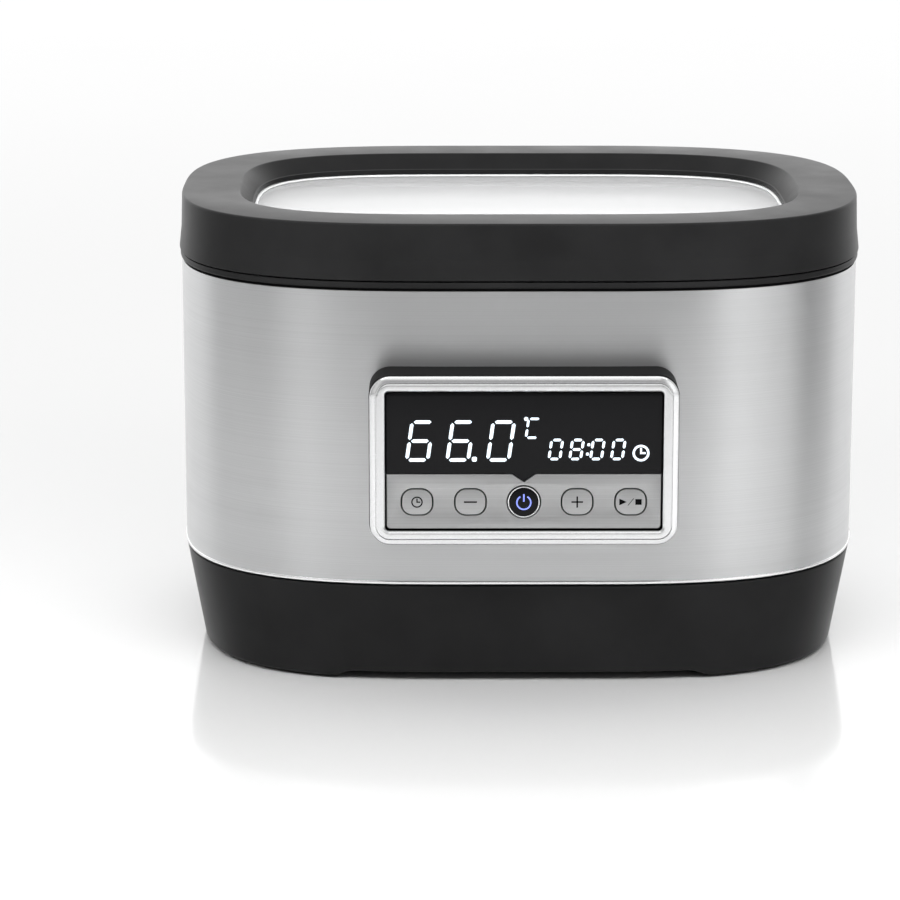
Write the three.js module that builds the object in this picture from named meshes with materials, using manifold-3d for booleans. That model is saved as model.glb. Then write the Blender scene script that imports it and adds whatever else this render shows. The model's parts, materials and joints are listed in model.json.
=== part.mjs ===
// Countertop water oven: an oval water bath with a stainless wrap, a windowed lid and a front panel.
// Millimetres, +Z up, front towards -Y, feet standing on Z = 0.
import * as THREE from 'three';
import { mergeVertices } from 'three/addons/utils/BufferGeometryUtils.js';
import Module from 'manifold-3d';

const wasm = await Module();
wasm.setup();

// ---------- driving dimensions ----------

// Plan outline at the lid's top edge: straight middle, superelliptic ends.
const HALF_WIDTH = 185;
const HALF_DEPTH = 140;
const END_RADIUS = 152.9;
const END_EXPONENT = 2.866;
const STRAIGHT = HALF_WIDTH - END_RADIUS;
const SIDES = 48;
const ARC_STEPS = 2;
const QUADRANT_STEPS = 90;

// Rings are drawn as lathes of this radius and then laid along the outline.
const LATHE_RADIUS = 160;
const FLOOR_INSET = 46;

// Heights above the table.
const Z_SKIRT = 1.2;
const Z_ARCH = 3.5;
const Z_BASE_TOP = 56;
const Z_SHELL_BOTTOM = 56.6;
const Z_SHELL_TOP = 214.5;
const Z_COLLAR_TOP = 219.2;
const Z_LID_BOTTOM = 220;
const Z_LID_TOP = 250;

// Offsets of the walls from the plan outline, outwards positive.
const LID_OUT = 2.3;
const SHELL_OUT = 1;
const SHELL_WALL = 0.8;
const COLLAR_OUT = 1.8;
const BASE_TOP_OUT = 0.9;
const BASE_FOOT_OUT = -11.5;
const POT_OUT = -27;
const POT_WALL = 0.8;
const RIM_IN = -31;
const WINDOW_IN = -39;

// Clearance between neighbouring pieces.
const GAP = 0.35;

// Control panel, on the front of the shell.
const PANEL_Z = 129.5;
const BEZEL_W = 160.4;
const BEZEL_H = 89.6;
const BEZEL_R = 11;
const OPENING_W = 144.6;
const OPENING_H = 74.2;
const OPENING_R = 2;
const BEZEL_FRONT = -167.2;
const HOUSING_FRONT = -162.2;
const HOUSING_OUT = 0.4;
const HOUSING_WALL = 2.7;
const LEDGE_BACK = -159.1;
const FASCIA_FRONT = -164.6;
const FASCIA_BACK = -162.4;
const FASCIA_CLEARANCE = 0.9;
const SPLIT_Z = 122.9;
const CHEVRON_W = 12;
const CHEVRON_H = 4.2;
const BUTTON_Z = 107.6;
const BUTTON_PITCH = 27.8;
const BUTTON_W = 15.6;
const BUTTON_H = 13.4;
const BUTTON_R = 5.6;
const POWER_R = 8.3;
const BUTTON_CLEARANCE = 0.6;
const BUTTON_NAMES = ['button_set', 'button_minus', 'button_power', 'button_plus', 'button_start_stop'];

// Mains inlet, on the rear of the base.
const INLET_Z = 29;
const INLET_BACK = 142.6;
const INLET_FLANGE_W = 50;
const INLET_FLANGE_H = 26;
const INLET_HOLE_PITCH = 40;
const INLET_SCREW_HEAD = 1.6;

// The origin sits under the centre of the overall box.
const REAR_EXTENT = INLET_BACK + GAP + INLET_SCREW_HEAD;
const CENTRE_SHIFT = -(BEZEL_FRONT + REAR_EXTENT) / 2;

// ---------- finishes ----------

const finish = (color, roughness, metalness) => ({ color, roughness, metalness });
const BLACK_PLASTIC = finish(0x2b2c2d, 0.5, 0);
const GREY_PLASTIC = finish(0x5a5b5d, 0.6, 0);
const STEEL = finish(0xbfc1c2, 0.35, 1);
const CHROME = finish(0xe2e4e6, 0.1, 1);
const ALUMINIUM = finish(0xa9abad, 0.45, 1);
const RUBBER = finish(0x1c1c1c, 0.9, 0);
const SILICONE = finish(0xcfd2d3, 0.7, 0);
const GLASS = finish(0xdfe6e8, 0.05, 0);
const DISPLAY_BLACK = finish(0x121214, 0.08, 0);
const BOARD_GREEN = finish(0x1d5a3a, 0.6, 0);
const BRASS = finish(0xc9a558, 0.3, 1);
const FELT = finish(0xd8d2c4, 0.95, 0);

// ---------- plan outline ----------

function outlineStations() {
  const points = [];
  for (let quadrant = 0; quadrant < 4; quadrant++) {
    for (let i = 0; i <= QUADRANT_STEPS; i++) {
      const angle = (quadrant + i / QUADRANT_STEPS) * Math.PI / 2;
      const c = Math.cos(angle);
      const s = Math.sin(angle);
      const reach = (Math.abs(c) ** END_EXPONENT + Math.abs(s) ** END_EXPONENT) ** (-1 / END_EXPONENT);
      const side = quadrant === 0 || quadrant === 3 ? 1 : -1;
      points.push(new THREE.Vector2(side * STRAIGHT + reach * c * END_RADIUS, reach * s * HALF_DEPTH));
    }
  }
  return new THREE.Path(points).getSpacedPoints(SIDES).slice(0, SIDES);
}

function outwardNormal(point) {
  const across = Math.max(Math.abs(point.x) - STRAIGHT, 0) / END_RADIUS;
  const along = Math.abs(point.y) / HALF_DEPTH;
  const nx = Math.sign(point.x) * across ** (END_EXPONENT - 1) / END_RADIUS;
  const ny = Math.sign(point.y) * along ** (END_EXPONENT - 1) / HALF_DEPTH;
  return new THREE.Vector2(nx, ny).normalize();
}

const stations = outlineStations();
const normals = stations.map(outwardNormal);

function outlinePoint(index, offset) {
  const k = index % SIDES;
  return stations[k].clone().addScaledVector(normals[k], offset);
}

function outlineRing(offset) {
  return stations.map((_, index) => outlinePoint(index, offset));
}

// The outline as a flat shape, without the points that lie inside its straight front and rear edges.
function outlineShape(offset) {
  return new THREE.Shape(outlineRing(offset).filter((point) => Math.abs(point.x) > STRAIGHT));
}

// ---------- geometry helpers ----------

function signedVolume(geometry) {
  const p = geometry.attributes.position;
  const [a, b, c] = [new THREE.Vector3(), new THREE.Vector3(), new THREE.Vector3()];
  let volume = 0;
  for (let i = 0; i < geometry.index.count; i += 3) {
    a.fromBufferAttribute(p, geometry.index.getX(i));
    b.fromBufferAttribute(p, geometry.index.getX(i + 1));
    c.fromBufferAttribute(p, geometry.index.getX(i + 2));
    volume += a.dot(b.cross(c)) / 6;
  }
  return volume;
}

function closed(geometry) {
  geometry.deleteAttribute('normal');
  geometry.deleteAttribute('uv');
  const merged = mergeVertices(geometry, 1e-4);
  if (signedVolume(merged) < 0) {
    const flipped = Array.from(merged.index.array).reverse();
    merged.setIndex(flipped);
  }
  return merged;
}

function toSolid(geometry) {
  const merged = closed(geometry);
  return new wasm.Manifold(new wasm.Mesh({
    numProp: 3,
    vertProperties: new Float32Array(merged.attributes.position.array),
    triVerts: new Uint32Array(merged.index.array),
  }));
}

function fromSolid(solid) {
  const mesh = solid.getMesh();
  const geometry = new THREE.BufferGeometry();
  geometry.setAttribute('position', new THREE.BufferAttribute(new Float32Array(mesh.vertProperties), 3));
  geometry.setIndex(new THREE.BufferAttribute(new Uint32Array(mesh.triVerts), 1));
  return geometry;
}

function join(base, ...extras) {
  return fromSolid(extras.reduce((sum, extra) => sum.add(toSolid(extra)), toSolid(base)));
}

function cut(base, ...cutters) {
  return fromSolid(cutters.reduce((rest, cutter) => rest.subtract(toSolid(cutter)), toSolid(base)));
}

// A closed band round the body: the profile lists [offset, z] and closes on itself.
function band(profile) {
  const loop = [...profile, profile[0]];
  return wrap(loop.map(([offset, z]) => new THREE.Vector2(LATHE_RADIUS + offset, z)));
}

// A dish: the profile starts and ends on the axis, and null stands for the axis.
function dish(profile) {
  return wrap(profile.map(([offset, z]) => {
    const radius = offset === null ? 0 : LATHE_RADIUS + offset;
    return new THREE.Vector2(radius, z);
  }));
}

function wrap(points) {
  const geometry = new THREE.LatheGeometry(points, SIDES);
  geometry.rotateX(Math.PI / 2);
  const p = geometry.attributes.position;
  for (let i = 0; i < p.count; i++) {
    const radius = Math.hypot(p.getX(i), p.getY(i));
    const turn = Math.atan2(p.getY(i), p.getX(i)) / (2 * Math.PI);
    const station = (Math.round(turn * SIDES) + SIDES) % SIDES;
    const offset = Math.max(radius - LATHE_RADIUS, -FLOOR_INSET);
    const scale = Math.min(radius / (LATHE_RADIUS - FLOOR_INSET), 1);
    const point = outlinePoint(station, offset).multiplyScalar(scale);
    p.setXY(i, point.x, point.y);
  }
  return closed(geometry);
}

function extruded(shape, depth) {
  return new THREE.ExtrudeGeometry(shape, { depth, bevelEnabled: false, curveSegments: ARC_STEPS });
}

function plate(shape, z0, z1) {
  return closed(extruded(shape, z1 - z0).translate(0, 0, z0));
}

// A plate drawn in X and Z, standing upright between two Y values.
function upright(shape, yBack, yFront) {
  return closed(extruded(shape, yBack - yFront).rotateX(Math.PI / 2).translate(0, yBack, 0));
}

function roundedRect(cx, cy, w, h, r, Kind = THREE.Shape) {
  const shape = new Kind();
  const [x0, x1, y0, y1] = [cx - w / 2, cx + w / 2, cy - h / 2, cy + h / 2];
  shape.moveTo(x0 + r, y0);
  shape.lineTo(x1 - r, y0);
  shape.absarc(x1 - r, y0 + r, r, -Math.PI / 2, 0);
  shape.lineTo(x1, y1 - r);
  shape.absarc(x1 - r, y1 - r, r, 0, Math.PI / 2);
  shape.lineTo(x0 + r, y1);
  shape.absarc(x0 + r, y1 - r, r, Math.PI / 2, Math.PI);
  shape.lineTo(x0, y0 + r);
  shape.absarc(x0 + r, y0 + r, r, Math.PI, Math.PI * 1.5);
  return shape;
}

function disc(cx, cy, r, Kind = THREE.Shape, sides = 10) {
  const points = [];
  for (let i = 0; i < sides; i++) {
    const angle = 2 * Math.PI * i / sides;
    points.push(new THREE.Vector2(cx + r * Math.cos(angle), cy + r * Math.sin(angle)));
  }
  return new Kind(points);
}

function box(w, d, h, x, y, z) {
  return closed(new THREE.BoxGeometry(w, d, h).translate(x, y, z));
}

function post(r, z0, z1, x, y) {
  const geometry = new THREE.CylinderGeometry(r, r, z1 - z0, 8).rotateX(Math.PI / 2);
  return closed(geometry.translate(x, y, (z0 + z1) / 2));
}

function turned(profile, sides = 12) {
  const geometry = new THREE.LatheGeometry(profile.map(([r, z]) => new THREE.Vector2(r, z)), sides);
  return closed(geometry.rotateX(Math.PI / 2));
}

// A screw with its head's underside at Z = 0 and its shank pointing up.
function screwGeometry(headR, headH, shankR, length) {
  return turned([[0, -headH], [headR, -headH], [headR, 0], [shankR, 0], [shankR, length], [0, length]], 8);
}

const body = new THREE.Group();
body.position.set(0, CENTRE_SHIFT, 0);

function add(name, geometry, look, position = [0, 0, 0], rotation = [0, 0, 0]) {
  const mesh = new THREE.Mesh(geometry, new THREE.MeshStandardMaterial(look));
  mesh.name = name;
  mesh.position.set(...position);
  mesh.rotation.set(...rotation);
  body.add(mesh);
}

// ---------- lid ----------

const LID_SCREW_STATIONS = [2, 12, 22, 26, 36, 46];
const LID_SCREW_OFFSET = -14;
const LID_RING_Z = 221.3;
const LID_RING_TOP = 223.8;
const LID_BOSS_BOTTOM = LID_RING_TOP + GAP;
const GLASS_Z = 233.5;
const GLASS_TOP = 237.5;
const LIP_Z = 239;

function lidFrame() {
  const channel = band([
    [LID_OUT, Z_LID_BOTTOM], [0.95, 231], [0.2, 247], [-0.7, 249.3], [-2.6, Z_LID_TOP], [RIM_IN, Z_LID_TOP],
    [WINDOW_IN + 1, 241.5], [WINDOW_IN, 240.5], [WINDOW_IN, LIP_Z], [-34, LIP_Z], [-34, 226],
    [-31.8, 226], [-31.8, 241], [-27.5, 247], [-3.5, 247], [-1.4, Z_LID_BOTTOM],
  ]);
  const bosses = [];
  const pilots = [];
  for (const station of LID_SCREW_STATIONS) {
    const p = outlinePoint(station, LID_SCREW_OFFSET);
    bosses.push(post(4, LID_BOSS_BOTTOM, 248, p.x, p.y));
    pilots.push(post(1.6, LID_BOSS_BOTTOM - 1, 236, p.x, p.y));
  }
  return cut(join(channel, ...bosses), ...pilots);
}

function lidInnerRing() {
  const ring = band([
    [-2.6, LID_RING_Z], [-2.6, LID_RING_TOP], [-35, LID_RING_TOP], [-35, GLASS_Z - GAP],
    [WINDOW_IN, GLASS_Z - GAP], [WINDOW_IN, LID_RING_Z], [-31.6, LID_RING_Z], [-31.6, 212], [-29.6, 212],
    [-29.6, LID_RING_Z],
  ]);
  const holes = LID_SCREW_STATIONS.map((station) => {
    const p = outlinePoint(station, LID_SCREW_OFFSET);
    return post(1.9, LID_RING_Z - 1, LID_RING_TOP + 1, p.x, p.y);
  });
  return cut(ring, ...holes);
}

add('lid_frame', lidFrame(), BLACK_PLASTIC);
add('lid_inner_ring', lidInnerRing(), BLACK_PLASTIC);
add('lid_window', plate(outlineShape(-34.4), GLASS_Z, GLASS_TOP), GLASS);
add('lid_window_gasket', band([[-34.4, 237.85], [-34.4, 238.65], [-38.6, 238.65], [-38.6, 237.85]]), RUBBER);
add('lid_seal', band([[-20, 218.2], [-20, 220.95], [-26.6, 220.95], [-26.6, 218.9], [-23.5, 217.9]]),
  SILICONE);
LID_SCREW_STATIONS.forEach((station, i) => {
  const p = outlinePoint(station, LID_SCREW_OFFSET);
  add(`lid_screw_${i + 1}`, screwGeometry(3, 1.7, 1.25, 11), STEEL, [p.x, p.y, LID_RING_Z - GAP]);
});

// ---------- collar, wrap and pot ----------

const TIE_ROD_STATIONS = [4, 20, 28, 44];
const TIE_ROD_OFFSET = -12;
const Z_POT_SEAT = 216.4;
const Z_POT_FLOOR = 62;
const POT_CORNER = 12;

function bodyCollar() {
  return band([
    [0.05, 203], [0.05, Z_SHELL_TOP + GAP], [COLLAR_OUT - 0.2, Z_SHELL_TOP + GAP], [COLLAR_OUT, 216.6],
    [COLLAR_OUT - 0.4, Z_COLLAR_TOP], [-8.6, Z_COLLAR_TOP], [-8.6, Z_POT_SEAT], [-25.6, Z_POT_SEAT],
    [-25.6, 213.4], [-5, 213.4], [-2.3, 210], [-2.3, 203],
  ]);
}

function outerShell() {
  const inner = SHELL_OUT - SHELL_WALL;
  const wrapBand = band([
    [SHELL_OUT, Z_SHELL_BOTTOM], [SHELL_OUT, Z_SHELL_TOP], [inner, Z_SHELL_TOP],
    [inner, Z_SHELL_BOTTOM + 0.8], [-5, Z_SHELL_BOTTOM + 0.8], [-5, Z_SHELL_BOTTOM],
  ]);
  const cableOpening = box(96, 12, 40, 0, -HALF_DEPTH, PANEL_Z);
  return cut(wrapBand, cableOpening);
}

function innerPot() {
  const [outer, inner] = [POT_OUT, POT_OUT - POT_WALL];
  const corner = (offset, z, radius) => [1, 2].map((i) => {
    const angle = i * Math.PI / 6;
    return [offset - radius + radius * Math.cos(angle), z + radius - radius * Math.sin(angle)];
  });
  const outerCorner = corner(outer, Z_POT_FLOOR, POT_CORNER + POT_WALL);
  const innerCorner = corner(inner, Z_POT_FLOOR + POT_WALL, POT_CORNER);
  return dish([
    [null, Z_POT_FLOOR], [outer - POT_CORNER - POT_WALL, Z_POT_FLOOR], ...outerCorner.reverse(),
    [outer, Z_POT_FLOOR + POT_CORNER + POT_WALL], [outer, 216.75], [-9, 216.75], [-9, 217.55],
    [-26.6, 217.55], [inner, 216.4], [inner, Z_POT_FLOOR + POT_CORNER + POT_WALL], ...innerCorner,
    [inner - POT_CORNER, Z_POT_FLOOR + POT_WALL], [null, Z_POT_FLOOR + POT_WALL],
  ]);
}

add('body_collar', bodyCollar(), BLACK_PLASTIC);
add('outer_shell', outerShell(), STEEL);
add('inner_pot', innerPot(), STEEL);
add('pot_insulation', band([[-19.5, 84], [-19.5, 206], [-26.2, 206], [-26.2, 84]]), FELT);

// The wrap is clamped between the collar and the base by four long rods with a nut at the lower end.
TIE_ROD_STATIONS.forEach((station, i) => {
  const p = outlinePoint(station, TIE_ROD_OFFSET);
  add(`tie_rod_${i + 1}`, screwGeometry(4, 3.2, 2, 160.2), STEEL, [p.x, p.y, 52.8]);
});

// ---------- heating ----------

const HEATER_W = 210;
const HEATER_D = 140;
const HEATER_Z = 57.6;

function heaterPlate() {
  return plate(roundedRect(0, 0, HEATER_W, HEATER_D, 60), HEATER_Z, Z_POT_FLOOR - GAP);
}

// A sheathed element bent into an open oval, its two cold ends turned down at the rear.
function heaterElement() {
  const [rx, ry, z] = [84, 52, HEATER_Z - 4.8];
  const points = [new THREE.Vector3(12, ry + 2, z - 14)];
  for (let i = 0; i <= 20; i++) {
    const angle = Math.PI / 2 - 0.14 - (i / 20) * (2 * Math.PI - 0.28);
    points.push(new THREE.Vector3(rx * Math.cos(angle), ry * Math.sin(angle), z));
  }
  points.push(new THREE.Vector3(-12, ry + 2, z - 14));
  const path = new THREE.CatmullRomCurve3(points);
  return closed(new THREE.ExtrudeGeometry(disc(0, 0, 3.2, THREE.Shape, 8), {
    steps: 44, bevelEnabled: false, extrudePath: path,
  }));
}

function heatShield() {
  const shape = roundedRect(0, 0, 236, 168, 70);
  shape.holes.push(roundedRect(0, 54, 44, 22, 6, THREE.Path), disc(0, 0, 9, THREE.Path));
  shape.holes.push(disc(44, 0, 13, THREE.Path));
  return plate(shape, 36, 36.8);
}

add('heater_plate', heaterPlate(), ALUMINIUM);
add('heater_element', heaterElement(), STEEL);
add('heat_shield', heatShield(), STEEL);
add('temperature_probe', turned([[0, 0], [2.2, 0], [2.2, 12], [6, 12], [6, 15], [4, 16], [4, 22], [0, 22]]),
  BRASS, [0, 0, HEATER_Z - 22 - GAP]);
add('thermal_cutout', turned([[0, 0], [4, 0], [4, 5], [8.5, 5], [8.5, 11], [11, 11], [11, 12.5], [0, 12.5]]),
  ALUMINIUM, [44, 0, HEATER_Z - 12.5 - GAP]);

// ---------- base ----------

const BASE_POST_STATIONS = [6, 18, 30, 42];
const BASE_POST_OFFSET = -21;
const COVER_OFFSET = -15.5;
const COVER_Z = 4.8;
const COVER_TOP = 7.3;
const POST_BOTTOM = COVER_TOP + GAP;
const SLOT_X = 60;
const SLOT_PITCH = 11;
const SLOT_LENGTH = 46;
const SLOT_WIDTH = 3;
const FOOT_X = 112;
const FOOT_Y = 84;
const ARCH_HALF = 89.5;
const ARCH_STEP = 13;

function baseHousing() {
  const shell = band([
    [BASE_TOP_OUT, Z_BASE_TOP], [-6, 13], [-8, 5.4], [BASE_FOOT_OUT, Z_SKIRT], [-14.6, Z_SKIRT],
    [-11.2, 6.5], [-2.2, 52.8], [-25, 52.8], [-25, Z_BASE_TOP],
  ]);
  const inletPad = box(60, 11, 38, 0, 135.3, INLET_Z + 2);
  const posts = BASE_POST_STATIONS.map((station) => {
    const p = outlinePoint(station, BASE_POST_OFFSET);
    return post(4, POST_BOTTOM, 54, p.x, p.y);
  });
  const arch = new THREE.Shape();
  arch.moveTo(-ARCH_HALF - ARCH_STEP, -5);
  arch.lineTo(ARCH_HALF + ARCH_STEP, -5);
  arch.lineTo(ARCH_HALF + ARCH_STEP, Z_SKIRT);
  arch.lineTo(ARCH_HALF, Z_ARCH);
  arch.lineTo(-ARCH_HALF, Z_ARCH);
  arch.lineTo(-ARCH_HALF - ARCH_STEP, Z_SKIRT);
  const cutters = [upright(arch, 200, -200)];
  for (const station of BASE_POST_STATIONS) {
    const p = outlinePoint(station, BASE_POST_OFFSET);
    cutters.push(post(1.8, POST_BOTTOM - 1, 24, p.x, p.y));
  }
  for (const station of TIE_ROD_STATIONS) {
    const p = outlinePoint(station, TIE_ROD_OFFSET);
    cutters.push(post(2.6, 50, 58, p.x, p.y));
  }
  cutters.push(upright(roundedRect(0, INLET_Z, 32.6, 24.6, 2), 150, 120));
  for (const side of [-1, 1]) {
    cutters.push(upright(disc(side * INLET_HOLE_PITCH / 2, INLET_Z, 1.9), 150, 120));
  }
  return cut(join(shell, inletPad, ...posts), ...cutters);
}

function baseCover() {
  const cutters = [];
  const middle = (COVER_Z + COVER_TOP) / 2;
  for (const side of [-1, 1]) {
    for (let i = -3; i <= 3; i++) {
      cutters.push(box(SLOT_LENGTH, SLOT_WIDTH, 6, side * SLOT_X, i * SLOT_PITCH, middle));
    }
  }
  for (const [x, y] of feet()) {
    cutters.push(post(3, COVER_Z - 1, COVER_TOP + 1, x, y));
  }
  for (const station of BASE_POST_STATIONS) {
    const p = outlinePoint(station, BASE_POST_OFFSET);
    cutters.push(post(2.1, COVER_Z - 1, COVER_TOP + 1, p.x, p.y));
  }
  return cut(plate(outlineShape(COVER_OFFSET), COVER_Z, COVER_TOP), ...cutters);
}

function feet() {
  return [[-1, -1], [1, -1], [-1, 1], [1, 1]].map(([sx, sy]) => [sx * FOOT_X, sy * FOOT_Y]);
}

function footGeometry() {
  return turned([[0, 0], [9.5, 0], [10.5, 1], [9.5, 4.4], [2.6, 4.4], [2.6, 8], [0, 9]]);
}

add('base_housing', baseHousing(), BLACK_PLASTIC);
add('base_cover', baseCover(), BLACK_PLASTIC);
feet().forEach(([x, y], i) => add(`foot_${i + 1}`, footGeometry(), RUBBER, [x, y, 0]));
BASE_POST_STATIONS.forEach((station, i) => {
  const p = outlinePoint(station, BASE_POST_OFFSET);
  add(`base_screw_${i + 1}`, screwGeometry(3.4, 1.7, 1.4, 17), STEEL, [p.x, p.y, COVER_Z - GAP]);
});

// ---------- mains inlet and power electronics ----------

const PAD_FACE = 140.8;
const SOCKET_W = 24.4;
const SOCKET_H = 16.4;
const SOCKET_FLOOR = 124;
const PIN_TIP = 137;

function mainsInlet() {
  const flange = roundedRect(0, INLET_Z, INLET_FLANGE_W, INLET_FLANGE_H, 6);
  for (const side of [-1, 1]) {
    flange.holes.push(disc(side * INLET_HOLE_PITCH / 2, INLET_Z, 2, THREE.Path));
  }
  const solid = join(upright(flange, INLET_BACK, PAD_FACE + GAP),
    upright(roundedRect(0, INLET_Z, 31.8, 23.8, 1.6), PAD_FACE + 1, 120));
  const socket = new THREE.Shape();
  const [w, h, bevel] = [SOCKET_W / 2, SOCKET_H / 2, 5];
  socket.moveTo(-w, INLET_Z - h);
  socket.lineTo(w, INLET_Z - h);
  socket.lineTo(w, INLET_Z + h - bevel);
  socket.lineTo(w - bevel, INLET_Z + h);
  socket.lineTo(-w + bevel, INLET_Z + h);
  socket.lineTo(-w, INLET_Z + h - bevel);
  const slots = pinPlaces().map(([, x, z]) => box(2.8, 12, 4.8, x, 122, z));
  return cut(solid, upright(socket, 150, SOCKET_FLOOR), ...slots);
}

function pinPlaces() {
  return [['live', 7, INLET_Z - 2], ['earth', 0, INLET_Z + 2], ['neutral', -7, INLET_Z - 2]];
}

add('mains_inlet', mainsInlet(), BLACK_PLASTIC);
for (const [name, x, z] of pinPlaces()) {
  add(`mains_pin_${name}`, box(2, PIN_TIP - 112, 4, x, (PIN_TIP + 112) / 2, z), BRASS);
}
for (const [i, side] of [-1, 1].entries()) {
  add(`inlet_screw_${i + 1}`, screwGeometry(3.4, INLET_SCREW_HEAD, 1.5, 9), STEEL,
    [side * INLET_HOLE_PITCH / 2, INLET_BACK + GAP, INLET_Z], [Math.PI / 2, 0, 0]);
}
add('power_board', plate(roundedRect(0, 70, 96, 46, 3), 11.2, 12.8), BOARD_GREEN);
add('power_relay', box(20, 16, 16, -28, 70, 21.2), DISPLAY_BLACK);
add('terminal_block', box(26, 12, 12, 26, 76, 19.2), GREY_PLASTIC);

// ---------- control panel ----------

// The visible ring, a spigot that slips into the housing and a ledge that the lens and fascia rest on.
function bezel() {
  const ring = frame(BEZEL_W, BEZEL_H, BEZEL_R, 0);
  const spigotInset = HOUSING_WALL + GAP - HOUSING_OUT;
  const [spigotW, spigotH] = [BEZEL_W - 2 * spigotInset, BEZEL_H - 2 * spigotInset];
  const spigot = frame(spigotW, spigotH, BEZEL_R - spigotInset, 0);
  const ledge = frame(spigotW, spigotH, BEZEL_R - spigotInset, 2.5);
  return join(upright(ring, HOUSING_FRONT - GAP, BEZEL_FRONT),
    upright(spigot, LEDGE_BACK, HOUSING_FRONT - GAP - 1),
    upright(ledge, LEDGE_BACK, FASCIA_BACK + GAP));
}

// A rounded rectangle with the panel's opening in it, made smaller on each side by the given inset.
function frame(w, h, r, inset) {
  const shape = roundedRect(0, PANEL_Z, w, h, r);
  const [openW, openH] = [OPENING_W - 2 * inset, OPENING_H - 2 * inset];
  shape.holes.push(roundedRect(0, PANEL_Z, openW, openH, OPENING_R, THREE.Path));
  return shape;
}

function controlHousing() {
  const [w, h, r] = [BEZEL_W + 2 * HOUSING_OUT, BEZEL_H + 2 * HOUSING_OUT, BEZEL_R + HOUSING_OUT];
  const walls = 2 * HOUSING_WALL;
  const inside = roundedRect(0, PANEL_Z, w - walls, h - walls, r - HOUSING_WALL);
  const outer = upright(roundedRect(0, PANEL_Z, w, h, r), -136, HOUSING_FRONT);
  const cavity = upright(inside, -144.4, HOUSING_FRONT - 2);
  const cable = box(60, 12, 16, 0, -142, PANEL_Z);
  const bodyFace = plate(outlineShape(SHELL_OUT + GAP), 60, 200);
  return cut(outer, cavity, cable, bodyFace);
}

function displayLens() {
  const [w, top] = [OPENING_W / 2 - FASCIA_CLEARANCE, PANEL_Z + OPENING_H / 2 - FASCIA_CLEARANCE];
  const shape = new THREE.Shape();
  shape.moveTo(-w, SPLIT_Z);
  shape.lineTo(-CHEVRON_W / 2, SPLIT_Z);
  shape.lineTo(0, SPLIT_Z - CHEVRON_H);
  shape.lineTo(CHEVRON_W / 2, SPLIT_Z);
  shape.lineTo(w, SPLIT_Z);
  shape.lineTo(w, top - OPENING_R);
  shape.absarc(w - OPENING_R, top - OPENING_R, OPENING_R, 0, Math.PI / 2);
  shape.lineTo(-w + OPENING_R, top);
  shape.absarc(-w + OPENING_R, top - OPENING_R, OPENING_R, Math.PI / 2, Math.PI);
  return upright(shape, FASCIA_BACK, FASCIA_FRONT);
}

function buttonHole(index, clearance, Kind) {
  const x = (index - 2) * BUTTON_PITCH;
  if (BUTTON_NAMES[index] === 'button_power') {
    return disc(x, BUTTON_Z, POWER_R + clearance, Kind, 16);
  }
  const [w, h] = [BUTTON_W + 2 * clearance, BUTTON_H + 2 * clearance];
  return roundedRect(x, BUTTON_Z, w, h, BUTTON_R + clearance, Kind);
}

function buttonFascia() {
  const w = OPENING_W / 2 - FASCIA_CLEARANCE;
  const bottom = PANEL_Z - OPENING_H / 2 + FASCIA_CLEARANCE;
  const top = SPLIT_Z - GAP;
  const shape = new THREE.Shape();
  shape.moveTo(-w + OPENING_R, bottom);
  shape.lineTo(w - OPENING_R, bottom);
  shape.absarc(w - OPENING_R, bottom + OPENING_R, OPENING_R, -Math.PI / 2, 0);
  shape.lineTo(w, top);
  shape.lineTo(CHEVRON_W / 2 + 0.3, top);
  shape.lineTo(0, top - CHEVRON_H - 0.1);
  shape.lineTo(-CHEVRON_W / 2 - 0.3, top);
  shape.lineTo(-w, top);
  shape.lineTo(-w, bottom + OPENING_R);
  shape.absarc(-w + OPENING_R, bottom + OPENING_R, OPENING_R, Math.PI, Math.PI * 1.5);
  BUTTON_NAMES.forEach((_, index) => shape.holes.push(buttonHole(index, BUTTON_CLEARANCE, THREE.Path)));
  return upright(shape, FASCIA_BACK, FASCIA_FRONT);
}

// A cap that fills its hole, a retaining flange behind the fascia and a stem that meets the switch.
function buttonGeometry(index) {
  const x = (index - 2) * BUTTON_PITCH;
  return join(
    upright(buttonHole(index, 0, THREE.Shape), FASCIA_BACK + 0.9, FASCIA_FRONT - 0.2),
    upright(buttonHole(index, 1.3, THREE.Shape), FASCIA_BACK + 1.7, FASCIA_BACK + 0.5),
    upright(roundedRect(x, BUTTON_Z, 5, 5, 1), -156.2, FASCIA_BACK + 1.2),
  );
}

add('control_housing', controlHousing(), BLACK_PLASTIC);
add('control_bezel', bezel(), CHROME);
add('display_lens', displayLens(), DISPLAY_BLACK);
add('button_fascia', buttonFascia(), ALUMINIUM);
add('display_module', upright(roundedRect(0, 144.5, 130, 36, 2), -153.4, -161.6), GREY_PLASTIC);
add('control_board', upright(roundedRect(0, PANEL_Z, 140, 68, 3), -148, -149.6), BOARD_GREEN);
BUTTON_NAMES.forEach((name, index) => {
  const x = (index - 2) * BUTTON_PITCH;
  add(name, buttonGeometry(index), name === 'button_power' ? DISPLAY_BLACK : ALUMINIUM);
  const switchBody = box(6, 3.4, 6, x, -151.65, BUTTON_Z);
  const plunger = box(3, 2.4, 3, x, -153.7, BUTTON_Z);
  add(`tact_switch_${index + 1}`, join(switchBody, plunger), BLACK_PLASTIC);
});

export default body;
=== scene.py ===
import json
import math

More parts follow.
